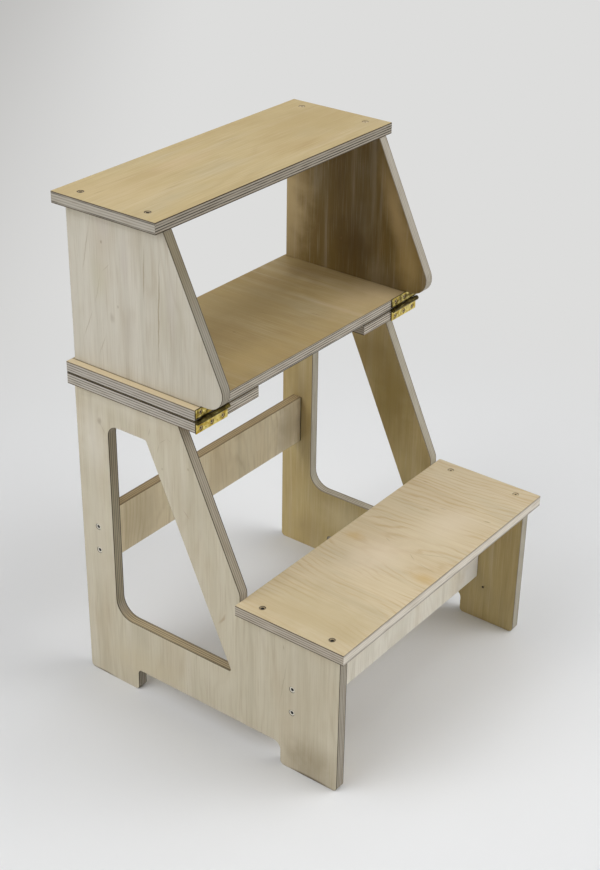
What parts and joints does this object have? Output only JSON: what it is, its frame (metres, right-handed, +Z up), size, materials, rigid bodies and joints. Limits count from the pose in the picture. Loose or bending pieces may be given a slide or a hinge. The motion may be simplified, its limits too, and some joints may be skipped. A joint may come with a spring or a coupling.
{
  "type": "folding step stool chair",
  "caption": "Plywood step stool whose upper box folds forward on brass hinges over the lower tread, leaving a low flat seat.",
  "frame": {"origin": "on the floor, under the middle of the part's bounding box as it stands open as steps", "axes": "+Z up, -Y towards the front, the side that is climbed from, and +X to the right as seen from the front"},
  "size_m": [0.468, 0.4368, 0.6944],
  "materials": {
    "face_veneer": "warm birch face veneer under a thin matt varnish",
    "side_veneer": "pale raw birch veneer, matt",
    "rail_veneer": "pale raw birch veneer, matt",
    "brass": "bright pressed brass, slightly worn",
    "steel": "zinc-plated screw steel"
  },
  "bodies": {
    "lower_frame": {"left_side_frame": "side_veneer", "right_side_frame": "side_veneer", "lower_tread": "face_veneer", "rear_rail": "rail_veneer", "front_rail": "rail_veneer", "left_cleat": "side_veneer", "right_cleat": "side_veneer", "left_hinge_lower_leaf": "brass", "left_hinge_pin": "brass", "left_hinge_lower_screw_1": "steel", "left_hinge_lower_screw_2": "steel", "left_hinge_lower_screw_3": "steel", "right_hinge_lower_leaf": "brass", "right_hinge_pin": "brass", "right_hinge_lower_screw_1": "steel", "right_hinge_lower_screw_2": "steel", "right_hinge_lower_screw_3": "steel", "tread_screw_left_front": "steel", "tread_screw_left_rear": "steel", "tread_screw_right_front": "steel", "tread_screw_right_rear": "steel", "cleat_screw_left_front": "steel", "cleat_screw_left_rear": "steel", "cleat_screw_right_front": "steel", "cleat_screw_right_rear": "steel", "rear_rail_screw_left_upper": "steel", "rear_rail_screw_left_lower": "steel", "rear_rail_screw_right_upper": "steel", "rear_rail_screw_right_lower": "steel", "front_rail_screw_left_upper": "steel", "front_rail_screw_left_lower": "steel", "front_rail_screw_right_upper": "steel", "front_rail_screw_right_lower": "steel"},
    "upper_box": {"shelf_board": "face_veneer", "left_upper_side": "side_veneer", "right_upper_side": "side_veneer", "top_board": "face_veneer", "left_hinge_upper_leaf": "brass", "left_hinge_upper_screw_1": "steel", "left_hinge_upper_screw_2": "steel", "left_hinge_upper_screw_3": "steel", "right_hinge_upper_leaf": "brass", "right_hinge_upper_screw_1": "steel", "right_hinge_upper_screw_2": "steel", "right_hinge_upper_screw_3": "steel", "shelf_screw_left_front": "steel", "shelf_screw_left_rear": "steel", "shelf_screw_right_front": "steel", "shelf_screw_right_rear": "steel", "top_board_screw_left_front": "steel", "top_board_screw_left_rear": "steel", "top_board_screw_right_front": "steel", "top_board_screw_right_rear": "steel"}
  },
  "joints": [
    {"name": "upper_box_fold", "type": "hinge", "parent": "lower_frame", "child": "upper_box", "pos_m": [0, 0.0004, 0.45825], "axis": [1, 0, 0], "range_deg": [0, 180]}
  ]
}
